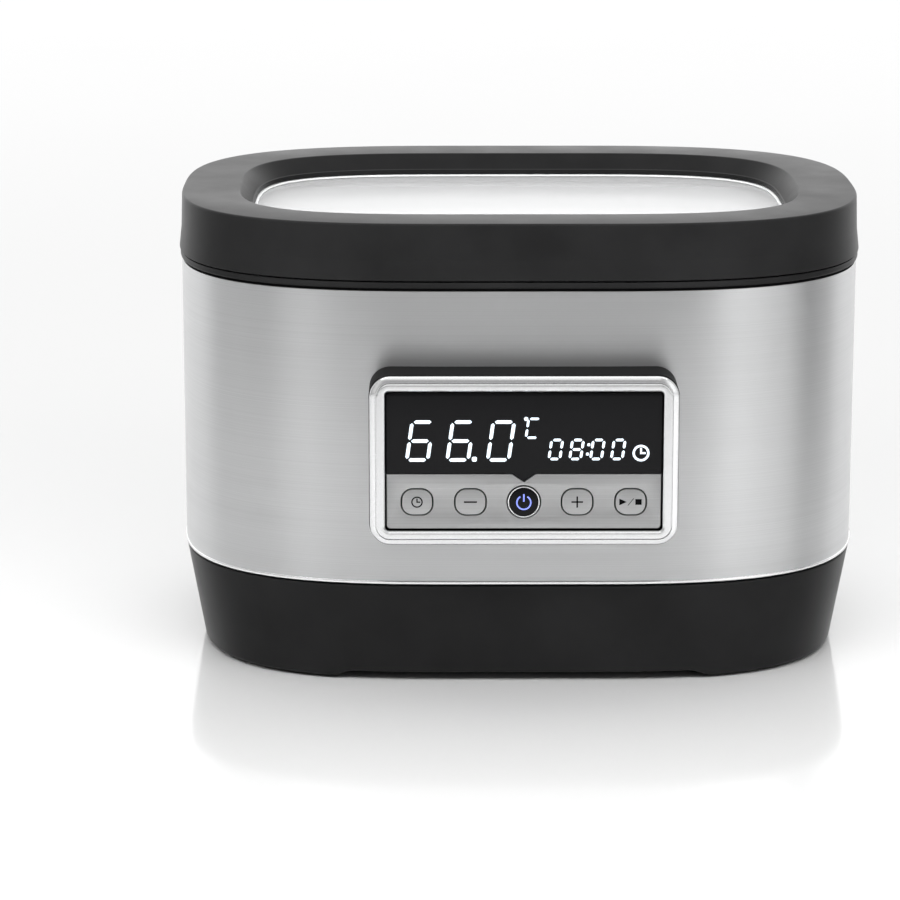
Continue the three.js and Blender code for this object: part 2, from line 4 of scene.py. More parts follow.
import bmesh
import bpy
import numpy as np
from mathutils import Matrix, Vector


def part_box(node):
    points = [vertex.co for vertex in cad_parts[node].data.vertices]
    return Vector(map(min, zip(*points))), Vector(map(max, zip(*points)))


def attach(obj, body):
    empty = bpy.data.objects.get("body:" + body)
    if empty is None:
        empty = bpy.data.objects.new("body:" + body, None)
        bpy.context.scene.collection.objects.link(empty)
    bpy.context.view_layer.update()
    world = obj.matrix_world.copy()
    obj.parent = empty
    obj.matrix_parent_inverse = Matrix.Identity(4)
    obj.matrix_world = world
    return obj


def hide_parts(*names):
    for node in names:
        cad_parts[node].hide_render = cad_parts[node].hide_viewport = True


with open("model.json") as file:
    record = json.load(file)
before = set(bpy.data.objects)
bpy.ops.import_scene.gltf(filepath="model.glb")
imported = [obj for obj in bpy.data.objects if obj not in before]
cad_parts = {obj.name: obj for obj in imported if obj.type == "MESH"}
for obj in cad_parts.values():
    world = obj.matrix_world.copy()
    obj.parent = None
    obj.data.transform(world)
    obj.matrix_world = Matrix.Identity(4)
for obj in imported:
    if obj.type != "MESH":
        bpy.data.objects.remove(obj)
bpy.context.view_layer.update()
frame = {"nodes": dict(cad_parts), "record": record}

MM = 0.001

# ---------------------------------------------------------------- dimensions, in millimetres
# Plan outline of the lid's top edge: a straight middle with superelliptic ends.
HALF_WIDTH = 185.0
HALF_DEPTH = 140.0
END_RADIUS = 152.9
END_EXPONENT = 2.866
STRAIGHT = HALF_WIDTH - END_RADIUS
OUTLINE_SAMPLES = 3600
STATIONS = 360
# Further in than this the outline keeps its shape and shrinks towards the axis.
SHRINK_FROM = 46.0
MEAN_RADIUS = 160.0

LID_LOW, LID_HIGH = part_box("lid_frame")
BODY_Y = (LID_LOW.y + LID_HIGH.y) / 2 / MM
LID_TOP = LID_HIGH.z / MM
LID_BOTTOM = LID_LOW.z / MM
COLLAR_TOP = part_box("body_collar")[1].z / MM
SHELL_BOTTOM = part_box("outer_shell")[0].z / MM
SHELL_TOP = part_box("outer_shell")[1].z / MM
BASE_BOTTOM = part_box("base_housing")[0].z / MM
BASE_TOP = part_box("base_housing")[1].z / MM
POT_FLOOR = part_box("inner_pot")[0].z / MM
GLASS_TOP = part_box("lid_window")[1].z / MM
GLASS_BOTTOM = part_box("lid_window")[0].z / MM

PANEL_LOW, PANEL_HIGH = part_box("control_bezel")
PANEL_Z = (PANEL_LOW.z + PANEL_HIGH.z) / 2 / MM
BEZEL_W = (PANEL_HIGH.x - PANEL_LOW.x) / MM
BEZEL_H = (PANEL_HIGH.z - PANEL_LOW.z) / MM
BEZEL_FRONT = PANEL_LOW.y / MM - BODY_Y
HOUSING_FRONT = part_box("control_housing")[0].y / MM - BODY_Y
LENS_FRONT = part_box("display_lens")[0].y / MM - BODY_Y
LENS_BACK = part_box("display_lens")[1].y / MM - BODY_Y
OPENING_W = 144.6
OPENING_H = 74.2
OPENING_R = 2.2
BEZEL_R = 11.0
HOUSING_OUT = 0.4
# The display lens and the button fascia meet at this height, with a chevron under the lens.
SPLIT_Z = 122.9
CHEVRON_W = 12.0
CHEVRON_H = 4.2
FASCIA_CLEARANCE = 0.9
BUTTON_Z = (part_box("button_minus")[0].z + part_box("button_minus")[1].z) / 2 / MM
BUTTONS = ("button_set", "button_minus", "button_power", "button_plus", "button_start_stop")
BUTTON_X = {name: (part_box(name)[0].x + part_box(name)[1].x) / 2 / MM for name in BUTTONS}


# ---------------------------------------------------------------- camera
FOCAL = 141.67
SENSOR = 36
CAMERA_AT = (-44.5, -1953.0, 555.5)
CAMERA_PAN = 0.0034
CAMERA_TILT = 0.2307


def make_camera():
    data = bpy.data.cameras.new("camera")
    data.sensor_width = SENSOR
    data.lens = FOCAL
    data.clip_start = 0.05
    data.clip_end = 60
    camera = bpy.data.objects.new("camera", data)
    x, y, z = CAMERA_AT
    camera.location = (x * MM, (y + BODY_Y) * MM, z * MM)
    camera.rotation_euler = (math.pi / 2 - CAMERA_TILT, 0, -CAMERA_PAN)
    bpy.context.collection.objects.link(camera)
    bpy.context.scene.camera = camera


make_camera()


# ---------------------------------------------------------------- plan outline
def plan_outline():
    """The outline as (x, y) points at equal steps along its length."""
    angle = np.linspace(0, 2 * np.pi, OUTLINE_SAMPLES, endpoint=False)
    c, s = np.cos(angle), np.sin(angle)
    reach = (np.abs(c) ** END_EXPONENT + np.abs(s) ** END_EXPONENT) ** (-1 / END_EXPONENT)
    side = np.where((angle <= np.pi / 2) | (angle > 1.5 * np.pi), 1, -1)
    points = np.stack([side * STRAIGHT + reach * c * END_RADIUS, reach * s * HALF_DEPTH], 1)
    loop = np.vstack([points, points[:1]])
    run = np.concatenate([[0], np.cumsum(np.linalg.norm(np.diff(loop, axis=0), axis=1))])
    at = np.linspace(0, run[-1], STATIONS, endpoint=False)
    return np.stack([np.interp(at, run, loop[:, 0]), np.interp(at, run, loop[:, 1])], 1)


def plan_normals(points):
    """Unit normals of the outline, from the gradient of the superellipse."""
    across = np.maximum(np.abs(points[:, 0]) - STRAIGHT, 0) / END_RADIUS
    along = np.abs(points[:, 1]) / HALF_DEPTH
    normal = np.stack([np.sign(points[:, 0]) * across ** (END_EXPONENT - 1) / END_RADIUS,
                       np.sign(points[:, 1]) * along ** (END_EXPONENT - 1) / HALF_DEPTH], 1)
    return normal / np.linalg.norm(normal, axis=1)[:, None]


PLAN = plan_outline()
NORMALS = plan_normals(PLAN)


def plan_ring(offset):
    """The outline pushed outwards by offset, or inwards where it is negative."""
    near = max(offset, -SHRINK_FROM)
    scale = min((MEAN_RADIUS + offset) / (MEAN_RADIUS - SHRINK_FROM), 1)
    return (PLAN + near * NORMALS) * scale


def plan_rings(profile):
    """Rings of points round the appliance, one for each (offset, z) of the profile."""
    rings = []
    for offset, z in profile:
        rings.append(np.column_stack([plan_ring(offset), np.full(STATIONS, float(z))]))
    return rings


def wall_y(x, offset):
    """Y of the front wall at a given X."""
    ring = plan_ring(offset)
    front = ring[ring[:, 1] < 0]
    order = np.argsort(front[:, 0])
    return np.interp(x, front[order, 0], front[order, 1])


# ---------------------------------------------------------------- mesh helpers
# Points closer than this, in metres, become one.
WELD = 1e-7
# The most of an edge that one rounded corner may take.
EDGE_SHARE = 0.49


def place(points):
    """Millimetres round the body's axis to metres in the frame."""
    points = np.array(points, float)
    points[:, 1] += BODY_Y
    return points * MM


def mesh_object(name, points, faces, sharp=35, body="root"):
    """A piece from points in millimetres, riding on a body. Edges over sharp degrees stay crisp."""
    mesh = bpy.data.meshes.new(name)
    mesh.from_pydata(place(points).tolist(), [], faces)
    mesh.update()
    piece = bpy.data.objects.new(name, mesh)
    bpy.context.collection.objects.link(piece)
    finish_mesh(piece, sharp)
    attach(piece, body)
    return piece


def finish_mesh(piece, sharp):
    bm = bmesh.new()
    bm.from_mesh(piece.data)
    bmesh.ops.remove_doubles(bm, verts=bm.verts, dist=WELD)
    bmesh.ops.recalc_face_normals(bm, faces=bm.faces)
    bm.to_mesh(piece.data)
    bm.free()
    for polygon in piece.data.polygons:
        polygon.use_smooth = True
    piece.data.set_sharp_from_angle(angle=math.radians(sharp))


def rounded(corners, steps=5, closed=True):
    """A polygon of (u, v, radius) corners with its corners rounded by arcs."""
    result = []
    count = len(corners)
    for i, (u, v, radius) in enumerate(corners):
        is_end = not closed and i in (0, count - 1)
        if radius <= 0 or is_end:
            result.append((u, v))
            continue
        here = np.array([u, v])
        before = np.array(corners[i - 1][:2]) - here
        after = np.array(corners[(i + 1) % count][:2]) - here
        length_before = np.linalg.norm(before)
        length_after = np.linalg.norm(after)
        before, after = before / length_before, after / length_after
        half = math.acos(max(-1, min(1, float(before @ after)))) / 2
        reach = min(radius / math.tan(half), length_before * EDGE_SHARE, length_after * EDGE_SHARE)
        r = reach * math.tan(half)
        centre = here + (before + after) / np.linalg.norm(before + after) * r / math.sin(half)
        start = here + before * reach - centre
        end = here + after * reach - centre
        first = math.atan2(start[1], start[0])
        turn = (math.atan2(end[1], end[0]) - first + math.pi) % (2 * math.pi) - math.pi
        for k in range(steps + 1):
            a = first + turn * k / steps
            result.append((centre[0] + r * math.cos(a), centre[1] + r * math.sin(a)))
    return result


def skin(rings, closed_profile=True):
    """Quads between rings of equal length. A closed profile joins the last ring to the first."""
    count = len(rings[0])
    points = np.vstack(rings)
    faces = []
    last = len(rings) if closed_profile else len(rings) - 1
    for i in range(last):
        a, b = i * count, ((i + 1) % len(rings)) * count
        for k in range(count):
            n = (k + 1) % count
            faces.append((a + k, a + n, b + n, b + k))
    return points, faces


def band(name, profile, body="root", bend=None, sharp=35):
    """A closed ring round the appliance from a closed (offset, z) profile."""
    points, faces = skin(plan_rings(profile))
    if bend:
        points = bend(points)
    return mesh_object(name, points, faces, sharp, body)


def dish(name, profile, body="root", sharp=35):
    """A bowl: the profile runs from the axis and back to the axis."""
    points, faces = skin(plan_rings(profile), closed_profile=False)
    total = len(points)
    points = np.vstack([points, [[0, 0, profile[0][1]], [0, 0, profile[-1][1]]]])
    last = total - STATIONS
    for k in range(STATIONS):
        n = (k + 1) % STATIONS
        faces.append((total, n, k))
        faces.append((total + 1, last + k, last + n))
    return mesh_object(name, points, faces, sharp, body)


def rounded_rect(cx, cz, w, h, r, steps=8):
    """Corner arcs of a rounded rectangle, anticlockwise, as (x, z)."""
    points = []
    for sx, sz, start in ((1, -1, -90), (1, 1, 0), (-1, 1, 90), (-1, -1, 180)):
        for k in range(steps + 1):
            a = math.radians(start + 90 * k / steps)
            points.append((cx + sx * (w / 2 - r) + r * math.cos(a),
                           cz + sz * (h / 2 - r) + r * math.sin(a)))
    return points


def circle(cx, cz, r, steps=48):
    """A closed ring of points, anticlockwise."""
    angles = [2 * math.pi * k / steps for k in range(steps)]
    return [(cx + r * math.cos(a), cz + r * math.sin(a)) for a in angles]


def slab(name, outlines, low, high, bevel=0.3, facing="front", body="root", sharp=30):
    """A flat plate with rounded edges and real holes, where one outline lies inside another.

    facing "front" draws it in X and Z between two Y values, "up" in X and Y between two Z values.
    """
    curve = bpy.data.curves.new(name + "_curve", "CURVE")
    curve.dimensions = "2D"
    curve.fill_mode = "BOTH"
    thick = abs(high - low)
    curve.extrude = (thick / 2 - bevel) * MM
    curve.bevel_depth = bevel * MM
    curve.bevel_resolution = 2
    # The bevel grows outwards, so the outline is drawn in by as much.
    curve.offset = -bevel * MM
    for outline in outlines:
        spline = curve.splines.new("POLY")
        spline.points.add(len(outline) - 1)
        spline.use_cyclic_u = True
        for point, (u, v) in zip(spline.points, outline):
            point.co = (u * MM, v * MM, 0, 1)
    source = bpy.data.objects.new(name + "_source", curve)
    bpy.context.collection.objects.link(source)
    depsgraph = bpy.context.evaluated_depsgraph_get()
    mesh = bpy.data.meshes.new_from_object(source.evaluated_get(depsgraph))
    bpy.data.objects.remove(source)
    mesh.name = name
    piece = bpy.data.objects.new(name, mesh)
    bpy.context.collection.objects.link(piece)
    middle = (low + high) / 2
    for vertex in mesh.vertices:
        u, v, w = vertex.co
        if facing == "front":
            vertex.co = (u, (middle + BODY_Y) * MM - w, v)
        else:
            vertex.co = (u, v + BODY_Y * MM, middle * MM + w)
    finish_mesh(piece, sharp)
    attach(piece, body)
    return piece


def hexagon(apothem, steps):
    """Radii that lay a ring of points along a hexagon."""
    sixth = math.pi / 3
    angles = [(2 * math.pi * k / steps + sixth / 2) % sixth - sixth / 2 for k in range(steps)]
    return [apothem / math.cos(a) for a in angles]


def turned(name, profile, at, facing="up", body="root", steps=48, sharp=35):
    """A round piece from (radius, height) rings between two centre points.

    A radius may be a list, one for each point. Heights run from the point at, along +Z, -Z or +Y
    for facing "up", "down" or "back".
    """
    turns = [2 * math.pi * k / steps for k in range(steps)]
    rings = []
    for radius, height in profile[1:-1]:
        radii = radius if isinstance(radius, list) else [radius] * steps
        rings.append(np.array([(r * math.cos(a), r * math.sin(a), height) for r, a in zip(radii, turns)]))
    points, faces = skin(rings, closed_profile=False)
    total = len(points)
    last = total - steps
    points = np.vstack([points, [[0, 0, profile[0][1]], [0, 0, profile[-1][1]]]])
    for k in range(steps):
        n = (k + 1) % steps
        faces.append((total, n, k))
        faces.append((total + 1, last + k, last + n))
    if facing == "down":
        points = points * (1, 1, -1)
    elif facing == "back":
        points = points[:, [0, 2, 1]]
    return mesh_object(name, points + np.array(at), faces, sharp, body)


def screw(node, head_r, head_h, shank_r, facing="down", body="root"):
    """A pan head with a hexagon socket, in the place of the node's screw.

    The head's own shape is given in shares of its radius and height.
    """
    low, high = (np.array(corner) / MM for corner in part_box(node))
    middle = (low + high) / 2
    if facing == "down":
        at = (middle[0], middle[1] - BODY_Y, low[2] + head_h)
        length = high[2] - low[2] - head_h
    else:
        at = (middle[0], high[1] - BODY_Y - head_h, middle[2])
        length = high[1] - low[1] - head_h
    steps = 48
    socket = hexagon(head_r * 0.42, steps)
    socket_mouth = [r * 1.12 for r in socket]
    profile = [(0, -length), (shank_r * 0.7, -length), (shank_r, -length + 0.6), (shank_r, 0),
               (head_r * 0.96, 0), (head_r, head_h * 0.15), (head_r * 0.98, head_h * 0.55),
               (head_r * 0.88, head_h * 0.85), (head_r * 0.68, head_h), (socket_mouth, head_h),
               (socket, head_h * 0.88), (socket, head_h * 0.3), (0, head_h * 0.22)]
    piece = turned(node.replace("screw", "bolt"), profile, at, facing, body, steps)
    dress(piece, SCREW)
    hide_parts(node)


def carve(piece, outline, back, front):
    """Cuts a prism, an outline in X and Z between two Y values, out of a piece."""
    outline = np.array(outline)
    rings = []
    for y in (back, front):
        rings.append(np.column_stack([outline[:, 0], np.full(len(outline), float(y)), outline[:, 1]]))
    points, faces = skin(rings, closed_profile=False)
    count = len(outline)
    faces += [tuple(range(count)), tuple(reversed(range(count, 2 * count)))]
    mesh = bpy.data.meshes.new("cutter")
    mesh.from_pydata(place(points).tolist(), [], faces)
    cutter = bpy.data.objects.new("cutter", mesh)
    bpy.context.collection.objects.link(cutter)
    finish_mesh(cutter, 30)
    cutting = piece.modifiers.new("cut", "BOOLEAN")
    cutting.operation = "DIFFERENCE"
    cutting.solver = "EXACT"
    cutting.object = cutter
    evaluated = piece.evaluated_get(bpy.context.evaluated_depsgraph_get())
    result = bpy.data.meshes.new_from_object(evaluated)
    piece.modifiers.clear()
    piece.data = result
    bpy.data.objects.remove(cutter)
    finish_mesh(piece, 50)


# ---------------------------------------------------------------- materials
# Grain heights in metres, and how far roughness wanders to either side of its value.
PLASTIC_GRAIN = 0.00004
BRUSH_GRAIN = 0.00003
HAZE_GRAIN = 0.00002
SMOOTHER = 0.04
ROUGHER = 0.05


def material(name, color, roughness, metallic=0.0, **sockets):
    """A Principled material. Further sockets are named with _ for the spaces."""
    made = bpy.data.materials.new(name)
    made.use_nodes = True
    shader = made.node_tree.nodes["Principled BSDF"]
    shader.inputs["Base Color"].default_value = (*color, 1)
    shader.inputs["Roughness"].default_value = roughness
    shader.inputs["Metallic"].default_value = metallic
    for socket, value in sockets.items():
        shader.inputs[socket.replace("_", " ")].default_value = value
    return made


class Nodes:
    """Short names for the nodes that the materials share."""

    def __init__(self, made):
        self.tree = made.node_tree
        self.shader = self.tree.nodes["Principled BSDF"]
        self.position = self.node("ShaderNodeTexCoord").outputs["Object"]

    def node(self, kind, **settings):
        made = self.tree.nodes.new(kind)
        for key, value in settings.items():
            setattr(made, key, value)
        return made

    def link(self, output, target):
        self.tree.links.new(output, target)

    def stretched(self, scale):
        mapping = self.node("ShaderNodeMapping")
        mapping.inputs["Scale"].default_value = scale
        self.link(self.position, mapping.inputs["Vector"])
        return mapping.outputs["Vector"]

    def noise(self, vector, scale, detail=3, roughness=0.55):
        made = self.node("ShaderNodeTexNoise")
        made.inputs["Scale"].default_value = scale
        made.inputs["Detail"].default_value = detail
        made.inputs["Roughness"].default_value = roughness
        self.link(vector, made.inputs["Vector"])
        return made.outputs["Fac"]

    def span(self, value, low, high):
        """Noise values, most of which lie from 0.3 to 0.7, spread from low to high."""
        made = self.node("ShaderNodeMapRange")
        made.inputs["From Min"].default_value = 0.3
        made.inputs["From Max"].default_value = 0.7
        made.inputs["To Min"].default_value = low
        made.inputs["To Max"].default_value = high
        self.link(value, made.inputs["Value"])
        return made.outputs["Result"]

    def mixed(self, value, low, high):
        """A colour between low and high, by the noise value."""
        made = self.node("ShaderNodeMix", data_type="RGBA")
        self.link(self.span(value, 0, 1), made.inputs[0])
        made.inputs[6].default_value = (*low, 1)
        made.inputs[7].default_value = (*high, 1)
        return made.outputs[2]

    def bump(self, height, strength, distance):
        made = self.node("ShaderNodeBump")
        made.inputs["Strength"].default_value = strength
        made.inputs["Distance"].default_value = distance
        self.link(height, made.inputs["Height"])
        self.link(made.outputs["Normal"], self.shader.inputs["Normal"])


def shade(color, factor):
    """The colour made lighter or darker."""
    return tuple(c * factor for c in color)


def grained_plastic(name, color, roughness, grain=9000, strength=0.25, vary=0.18, **sockets):
    """Moulded plastic: a fine spark-eroded grain, and faint larger variation in gloss and tone."""
    made = material(name, color, roughness, **sockets)
    nodes = Nodes(made)
    fine = nodes.noise(nodes.position, grain, 2)
    broad = nodes.noise(nodes.position, 22, 4)
    tone = nodes.mixed(broad, shade(color, 1 - vary), shade(color, 1 + vary))
    gloss = nodes.span(broad, roughness - SMOOTHER, roughness + ROUGHER)
    nodes.link(tone, nodes.shader.inputs["Base Color"])
    nodes.link(gloss, nodes.shader.inputs["Roughness"])
    nodes.bump(fine, strength, PLASTIC_GRAIN)
    return made


def brushed_metal(name, color, roughness, along=(0.8, 0.8, 1800), strength=0.07, vary=0.05,
                  anisotropic=0.7):
    """Brushed metal: streaks that run level, in tone, roughness and relief."""
    made = material(name, color, roughness, 1.0, Anisotropic=anisotropic, Anisotropic_Rotation=0.25)
    nodes = Nodes(made)
    tangent = nodes.node("ShaderNodeTangent", direction_type="RADIAL", axis="Z")
    nodes.link(tangent.outputs["Tangent"], nodes.shader.inputs["Tangent"])
    lines = nodes.noise(nodes.stretched(along), 1.0, 2, 0.6)
    broader = (along[0] * 6, along[1] * 6, along[2] * 0.05)
    patches = nodes.noise(nodes.stretched(broader), 1.0, 3)
    tone = nodes.mixed(lines, shade(color, 1 - vary), shade(color, 1 + vary))
    gloss = nodes.span(patches, roughness - SMOOTHER, roughness + ROUGHER)
    nodes.link(tone, nodes.shader.inputs["Base Color"])
    nodes.link(gloss, nodes.shader.inputs["Roughness"])
    nodes.bump(lines, strength, BRUSH_GRAIN)
    return made


def smooth_metal(name, color, roughness):
    """Polished, plated or machined metal with a faint haze."""
    made = material(name, color, roughness, 1.0)
    nodes = Nodes(made)
    haze = nodes.noise(nodes.position, 1500, 4)
    tone = nodes.mixed(haze, shade(color, 0.93), shade(color, 1.05))
    nodes.link(tone, nodes.shader.inputs["Base Color"])
    nodes.link(nodes.span(haze, roughness * 0.8, roughness * 1.25), nodes.shader.inputs["Roughness"])
    nodes.bump(haze, 0.03, HAZE_GRAIN)
    return made


BLACK = grained_plastic("black_plastic", (0.0114, 0.0114, 0.0116), 0.32, IOR=1.165)
PANEL_BLACK = grained_plastic("panel_plastic", (0.006, 0.006, 0.0062), 0.5, 6000, 0.15, IOR=1.12)
INLET_BLACK = grained_plastic("inlet_plastic", (0.006, 0.006, 0.007), 0.34, 6000, 0.15, IOR=1.4)
RUBBER = grained_plastic("rubber", (0.007, 0.007, 0.007), 0.8, 5000, 0.4)
SILICONE = grained_plastic("silicone", (0.72, 0.73, 0.73), 0.45, 3000, 0.1, 0.05)
STEEL = brushed_metal("brushed_steel", (0.58, 0.584, 0.588), 0.33, strength=0.05, anisotropic=0.8)
HEM_STEEL = smooth_metal("polished_hem", (0.85, 0.853, 0.856), 0.16)
POT_STEEL = brushed_metal("pot_steel", (0.72, 0.725, 0.73), 0.34, (2, 2, 500), 0.06, 0.05, 0.4)
FASCIA = brushed_metal("fascia_metal", (0.50, 0.502, 0.504), 0.38, (2, 2, 2200), 0.08, 0.07)
CHROME = smooth_metal("bezel_chrome", (0.80, 0.804, 0.808), 0.15)
SCREW = smooth_metal("screw_steel", (0.55, 0.56, 0.57), 0.36)
ALUMINIUM = smooth_metal("cast_aluminium", (0.55, 0.555, 0.56), 0.45)
BRASS = smooth_metal("brass", (0.62, 0.44, 0.17), 0.36)
DISPLAY = grained_plastic("display_black", (0.003, 0.003, 0.0034), 0.1, 300, 0.01, 0.1, IOR=1.24)
BOARD = grained_plastic("circuit_board", (0.02, 0.10, 0.05), 0.4, 2500, 0.2)
PALE_GREY = grained_plastic("pale_grey_plastic", (0.80, 0.803, 0.806), 0.45, vary=0.03)
GREY = grained_plastic("grey_plastic", (0.16, 0.165, 0.17), 0.5)
FELT = grained_plastic("insulation_felt", (0.62, 0.57, 0.47), 0.95, 2200, 0.9, 0.12)
PRINT = grained_plastic("panel_print", (0.003, 0.003, 0.0032), 0.6, 3000, 0.1, IOR=1.1)


def lit(name, color, strength):
    """A lit part of the display, a little uneven as behind a diffuser."""
    made = material(name, shade(color, 0.6), 0.35)
    nodes = Nodes(made)
    glow = nodes.noise(nodes.position, 900, 2)
    nodes.link(nodes.mixed(glow, shade(color, 0.9), color), nodes.shader.inputs["Emission Color"])
    nodes.shader.inputs["Emission Strength"].default_value = strength
    return made


DIGITS = lit("display_digits", (0.80, 0.91, 1.0), 0.78)
SYMBOL = lit("power_symbol", (0.20, 0.25, 0.80), 0.9)


def window_glass():
    """Lightly frosted: pale at a low angle, and the tank shows through from above."""
    made = material("window_glass", (0.74, 0.743, 0.746), 0.2, IOR=1.4, Alpha=0.55)
    nodes = Nodes(made)
    haze = nodes.noise(nodes.position, 35, 4)
    nodes.link(nodes.span(haze, 0.19, 0.21), nodes.shader.inputs["Roughness"])
    return made


GLASS = window_glass()


def dress(piece, look):
    """Gives a piece its material."""
    piece.data.materials.clear()
    piece.data.materials.append(look)


# ---------------------------------------------------------------- lid
# Profiles from here on list (offset from the outline, z, corner radius).
LID_OUT = 2.3
RIM_IN = -31
WINDOW_IN = -39
GLASS_OFFSET = -34.6
LID_SCREWS = 6


def make_lid():
    lid = band("lid_shell", rounded([
        (LID_OUT, LID_BOTTOM, 0.5), (1.1, 231, 14), (0.5, LID_TOP, 1.3), (RIM_IN, LID_TOP, 1.5),
        (WINDOW_IN + 1.2, 241.7, 0.4), (WINDOW_IN + 0.3, 241.4, 0.25), (WINDOW_IN, 239, 0.25),
        (-34, 239, 0), (-34, 226, 0.3), (-31.8, 226, 0.3), (-31.8, 241, 0), (-27.5, 247, 0),
        (-3.5, 247, 0), (-1.2, LID_BOTTOM, 0.4)], 6), "lid", sharp=50)
    dress(lid, BLACK)
    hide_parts("lid_frame")
    ring = band("lid_lower_ring", rounded([
        (-2.7, 221.3, 0.6), (-2.7, 223.8, 0.4), (-35, 223.8, 0), (-35, 233.1, 0.3), (-39, 233.1, 0.3),
        (-39, 221.3, 0.8), (-31.6, 221.3, 0.5), (-31.6, 212, 0.8), (-29.6, 212, 0.8),
        (-29.6, 221.3, 0.5)], 3), "lid", sharp=50)
    dress(ring, PALE_GREY)
    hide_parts("lid_inner_ring")
    glass = slab("window_pane", [plan_ring(GLASS_OFFSET)], GLASS_BOTTOM, GLASS_TOP, 0.5, "up", "lid")
    dress(glass, GLASS)
    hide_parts("lid_window")
    gasket = band("window_seal", rounded([
        (-34.4, 237.7, 0.2), (-34.4, 238.7, 0.2), (-40.0, 238.5, 0.4), (-40.0, 237.65, 0.2)], 3), "lid")
    dress(gasket, SILICONE)
    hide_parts("lid_window_gasket")
    seal = band("lid_gasket", rounded([
        (-20, 218.2, 0.4), (-20, 220.9, 0.4), (-26.6, 220.9, 0.4), (-26.6, 218.9, 0.5),
        (-23.5, 217.9, 0.8)], 3), "lid")
    dress(seal, SILICONE)
    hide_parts("lid_seal")
    for i in range(1, LID_SCREWS + 1):
        screw(f"lid_screw_{i}", 3.0, 1.7, 1.25, body="lid")


make_lid()


# ---------------------------------------------------------------- collar, wrap, pot
SHELL_OUT = 1.0
WRAP_THICKNESS = 0.8
HEM = 1.7
HEM_OUT = 0.5
POT_OUT = -27.0
POT_THICKNESS = 0.8


def make_collar():
    collar = band("collar_ring", rounded([
        (-0.15, 203, 0.3), (-0.15, SHELL_TOP + 0.1, 0), (-2.0, SHELL_TOP + 0.1, 0),
        (-2.0, SHELL_TOP + 1.5, 0), (SHELL_OUT + 0.5, SHELL_TOP + 1.5, 0.3),
        (SHELL_OUT + 0.8, 216.8, 0.6), (SHELL_OUT + 0.5, COLLAR_TOP, 0.7), (-8.6, COLLAR_TOP, 0.4),
        (-8.6, 216.4, 0), (-25.6, 216.4, 0.6), (-25.6, 213.4, 0.5), (-5, 213.4, 0), (-2.3, 210, 0),
        (-2.3, 203, 0.4)], 4), sharp=50)
    dress(collar, BLACK)
    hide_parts("body_collar")


def make_wrap():
    """The sheet, the polished hem along its lower edge and the seam at the rear."""
    inner = SHELL_OUT - WRAP_THICKNESS
    hem_top = SHELL_BOTTOM + HEM
    wrap = band("steel_wrap", rounded([
        (SHELL_OUT, hem_top, 0.2), (SHELL_OUT, SHELL_TOP, 0.5), (inner, SHELL_TOP, 0.25),
        (inner, hem_top, 0.2)], 6), sharp=60)
    dress(wrap, STEEL)
    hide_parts("outer_shell")
    rolled = band("steel_wrap_hem", rounded([
        (SHELL_OUT + HEM_OUT, hem_top + 0.2, 0.6), (inner, hem_top + 0.2, 0.1),
        (inner, SHELL_BOTTOM + 0.8, 0.3), (-5, SHELL_BOTTOM + 0.8, 0.3), (-5, SHELL_BOTTOM, 0.3),
        (SHELL_OUT + HEM_OUT, SHELL_BOTTOM, 0.7)], 6), sharp=60)
    dress(rolled, HEM_STEEL)
    rear = HALF_DEPTH + SHELL_OUT
    middle = (SHELL_TOP + hem_top) / 2
    height = SHELL_TOP - hem_top - 1
    seam_outline = rounded_rect(0, middle, 8, height, 0.5, 3)
    seam = slab("wrap_seam", [seam_outline], rear - 0.2, rear + 0.45, 0.2)
    dress(seam, STEEL)


def make_pot():
    """A deep-drawn tank with a flange and a pressed fill line inside."""
    inner = POT_OUT - POT_THICKNESS
    floor = POT_FLOOR + POT_THICKNESS
    wall = rounded([
        (-100, POT_FLOOR, 0), (POT_OUT, POT_FLOOR, 12.8), (POT_OUT, 216.75, 0.5), (-9, 216.75, 0.3),
        (-9, 217.55, 0.3), (-26.4, 217.55, 2.2), (inner, 214, 1.0), (inner, 192, 0.8),
        (inner - 0.5, 191, 0.8), (inner, 190, 0.8), (inner, floor, 12), (-100, floor, 0)], 7, closed=False)
    pot = dish("tank", wall, sharp=60)
    dress(pot, POT_STEEL)
    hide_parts("inner_pot")


make_collar()
make_wrap()
make_pot()


# ---------------------------------------------------------------- base
ARCH_HALF = 89.5
ARCH_STEP = 13.0
ARCH_LIFT = 3.3
ARCH_FADE = 14


def arch(points):
    """Raises the middle of the lower edge, front and rear, so that the ends stand a little lower."""
    x, z = points[:, 0], points[:, 2]
    step = np.clip((ARCH_HALF + ARCH_STEP - np.abs(x)) / ARCH_STEP, 0, 1)
    step = step * step * (3 - 2 * step)
    fade = np.clip(1 - (z - BASE_BOTTOM) / ARCH_FADE, 0, 1)
    points[:, 2] = z + ARCH_LIFT * step * fade
    return points


INLET_Z = 29.0
INLET_PITCH = 40.0
PAD_FACE = 140.8
INLET_FACE = 142.6
INLET_WELL_BACK = 120
COVER_OFFSET = -15.5
FOOT_HOLE = 3.0
SCREW_HOLE = 2.1
SLOT_X = 60.0
SLOT_PITCH = 11.0
SLOT_LENGTH = 46.0
SLOT_WIDTH = 3.0


def node_centre(node):
    """The node's middle in X and Y, in millimetres round the body's axis."""
    low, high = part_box(node)
    return (low.x + high.x) / 2 / MM, (low.y + high.y) / 2 / MM - BODY_Y


